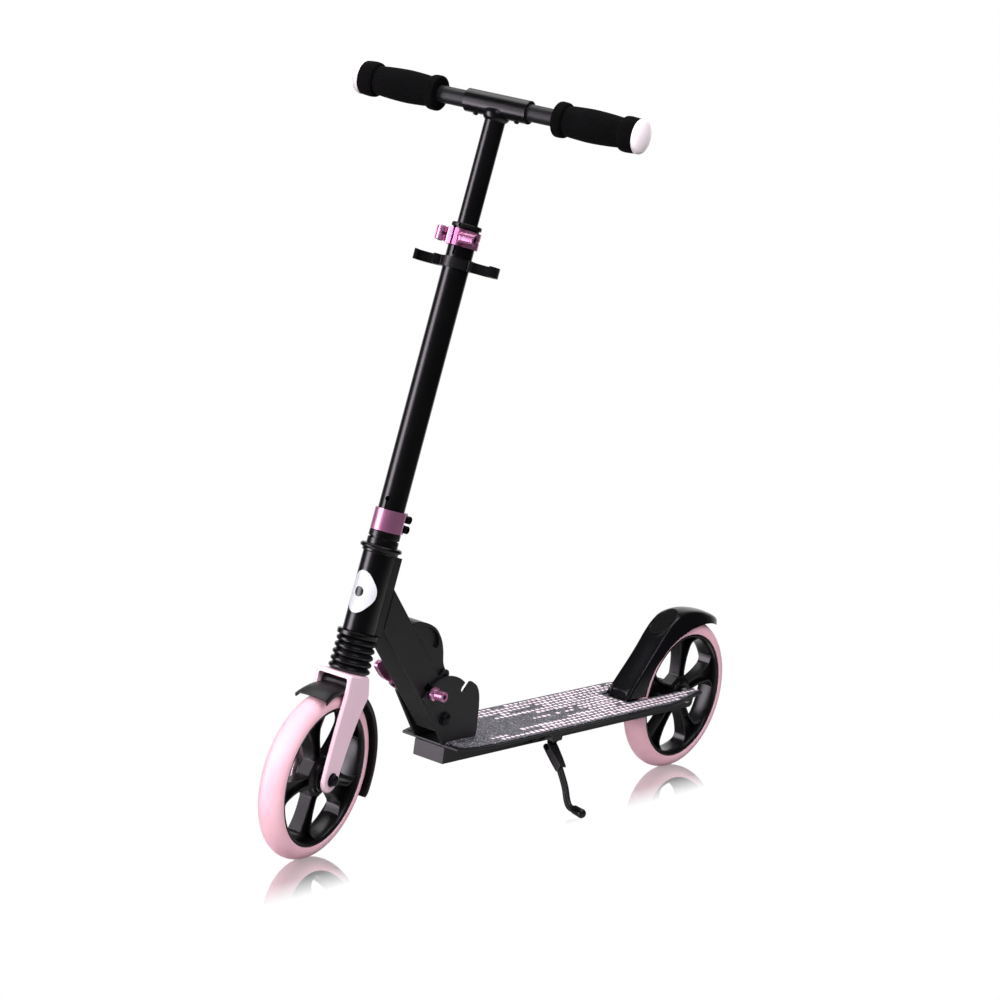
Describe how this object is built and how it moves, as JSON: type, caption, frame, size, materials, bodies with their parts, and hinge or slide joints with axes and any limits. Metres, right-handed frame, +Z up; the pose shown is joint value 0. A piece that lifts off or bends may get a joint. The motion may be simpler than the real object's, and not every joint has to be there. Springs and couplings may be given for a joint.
{
  "type": "folding kick scooter",
  "caption": "Folding kick scooter with two large wheels, front suspension, height-adjustable handlebar, rear fender brake and kickstand, parked leaning on its stand.",
  "frame": {"origin": "centre of the bottom face of the whole object's box, on the ground", "axes": "+X forward, +Y to the rider's left, +Z up; the scooter is parked, leaning left on its kickstand"},
  "size_m": [0.9202, 0.3754, 0.9069],
  "materials": {
    "black_powder_coat": "satin black powder coat on aluminium",
    "gloss_black": "gloss black paint on aluminium",
    "gloss_black_nylon": "gloss black moulded nylon",
    "black_plastic": "satin black moulded plastic",
    "grip_tape": "dark grey grit tape",
    "black_foam": "matt black foam rubber",
    "pink_anodised": "pink anodised aluminium",
    "pale_pink_coat": "pale pink powder coat",
    "pink_tyre": "pale pink polyurethane",
    "black_rubber": "black rubber",
    "black_steel": "black oxide steel",
    "bright_steel": "bright steel"
  },
  "bodies": {
    "deck": {"deck_plate": "black_powder_coat", "deck_spine": "black_powder_coat", "grip_tape": "grip_tape", "hinge_plate_left": "black_powder_coat", "hinge_plate_right": "black_powder_coat", "fold_pivot_bolt": "black_steel", "rear_axle": "black_steel", "brake_pivot_pin": "black_steel", "kickstand_bracket": "black_powder_coat"},
    "front_frame": {"down_tube": "black_powder_coat", "head_tube": "gloss_black", "headset_cup_lower": "gloss_black", "headset_cup_upper": "gloss_black", "lever_pin": "black_steel"},
    "lock": {"lock_bolt": "black_steel", "lock_knob": "pink_anodised", "lock_cam_seat": "pink_anodised"},
    "fold_cam": {"fold_cam_lever": "pink_anodised"},
    "fold_lever": {"fold_lever": "black_plastic"},
    "steering": {"steerer_tube": "black_steel", "column_tube": "gloss_black", "headset_nut": "gloss_black", "lower_clamp": "pink_anodised", "clamp_bolt_lower": "black_steel", "clamp_bolt_upper": "black_steel", "upper_clamp": "pink_anodised", "height_clamp_bolt": "pink_anodised", "column_bushing": "black_plastic", "bar_clip": "black_plastic", "bellows": "black_rubber", "suspension_spring": "bright_steel"},
    "height_cam": {"height_cam_lever": "pink_anodised"},
    "stem": {"stem_tee": "gloss_black", "bar_left": "black_powder_coat", "bar_right": "black_powder_coat", "grip_left": "black_foam", "grip_right": "black_foam", "end_cap_left": "pink_anodised", "end_cap_right": "pink_anodised"},
    "snap_button_left": {"snap_button_left": "bright_steel"},
    "snap_button_right": {"snap_button_right": "bright_steel"},
    "fork": {"fork": "pale_pink_coat", "front_fender": "black_plastic", "front_axle": "black_steel", "suspension_slider": "bright_steel"},
    "front_wheel": {"front_tyre": "pink_tyre", "front_wheel_core": "gloss_black_nylon", "front_bearing_left": "bright_steel", "front_bearing_right": "bright_steel", "front_bearing_spacer": "bright_steel"},
    "rear_wheel": {"rear_tyre": "pink_tyre", "rear_wheel_core": "gloss_black_nylon", "rear_bearing_left": "bright_steel", "rear_bearing_right": "bright_steel", "rear_bearing_spacer": "bright_steel"},
    "brake": {"brake_fender": "black_plastic", "brake_tread": "black_rubber"},
    "kickstand": {"kickstand_leg": "black_powder_coat", "kickstand_foot": "black_rubber"}
  },
  "joints": [
    {"name": "fold", "type": "hinge", "parent": "deck", "child": "front_frame", "pos_m": [0.15972, -0.11935, 0.14113], "axis": [0, -0.9862, 0.1656], "range_deg": [0, 82]},
    {"name": "fold_lever_pull", "type": "hinge", "parent": "front_frame", "child": "fold_lever", "pos_m": [0.15867, -0.11069, 0.19274], "axis": [0, -0.9862, 0.1656], "range_deg": [0, 30], "stiffness_Nm_per_rad": 1.5, "springref_deg": -28.65},
    {"name": "lock_slide", "type": "slide", "parent": "front_frame", "child": "lock", "axis": [0.673, 0.1225, 0.7294], "range_m": [0, 0.009]},
    {"name": "fold_cam_turn", "type": "hinge", "parent": "lock", "child": "fold_cam", "pos_m": [0.18711, -0.14738, 0.18075], "axis": [0.7396, -0.1114, -0.6637], "range_deg": [0, 110]},
    {"name": "steer", "type": "hinge", "parent": "front_frame", "child": "steering", "pos_m": [0.34691, -0.127, 0.0956], "axis": [-0.2137, 0.1617, 0.9634], "range_deg": [-98.5, 81.5]},
    {"name": "height_cam_turn", "type": "hinge", "parent": "steering", "child": "height_cam", "pos_m": [0.23745, -0.0368, 0.70969], "axis": [-0.2137, 0.1617, 0.9634], "range_deg": [0, 120]},
    {"name": "height_slide", "type": "slide", "parent": "steering", "child": "stem", "axis": [-0.2137, 0.1617, 0.9634], "range_m": [-0.12, 0]},
    {"name": "snap_left_press", "type": "slide", "parent": "stem", "child": "snap_button_left", "axis": [-0.2137, 0.1617, 0.9634], "range_m": [0, 0.0035], "stiffness_N_per_m": 800, "springref_m": -0.002},
    {"name": "snap_right_press", "type": "slide", "parent": "stem", "child": "snap_button_right", "axis": [-0.2137, 0.1617, 0.9634], "range_m": [0, 0.0035], "stiffness_N_per_m": 800, "springref_m": -0.002},
    {"name": "suspension", "type": "slide", "parent": "steering", "child": "fork", "axis": [-0.2137, 0.1617, 0.9634], "range_m": [0, 0.015], "stiffness_N_per_m": 9000, "springref_m": -0.01, "deforming": ["bellows", "suspension_spring"]},
    {"name": "front_wheel_spin", "type": "hinge", "parent": "fork", "child": "front_wheel", "pos_m": [0.36121, -0.12431, 0.09832], "axis": [-0.1454, 0.9699, -0.1951], "continuous": true},
    {"name": "rear_wheel_spin", "type": "hinge", "parent": "deck", "child": "rear_wheel", "pos_m": [-0.36013, -0.12647, 0.09872], "axis": [0, 0.9862, -0.1656], "continuous": true},
    {"name": "brake_press", "type": "hinge", "parent": "deck", "child": "brake", "pos_m": [-0.23543, -0.12339, 0.11706], "axis": [0, -0.9862, 0.1656], "range_deg": [0, 3.4], "stiffness_Nm_per_rad": 1.5, "springref_deg": -17.19},
    {"name": "kickstand_fold", "type": "hinge", "parent": "deck", "child": "kickstand", "pos_m": [-0.04738, -0.09494, 0.07517], "axis": [0, 0.6857, 0.7279], "range_deg": [0, 108]}
  ],
  "couplings": [
    {"joint": "lock_slide", "follows": "fold_lever_pull", "m_per_rad": 0.017189}
  ]
}
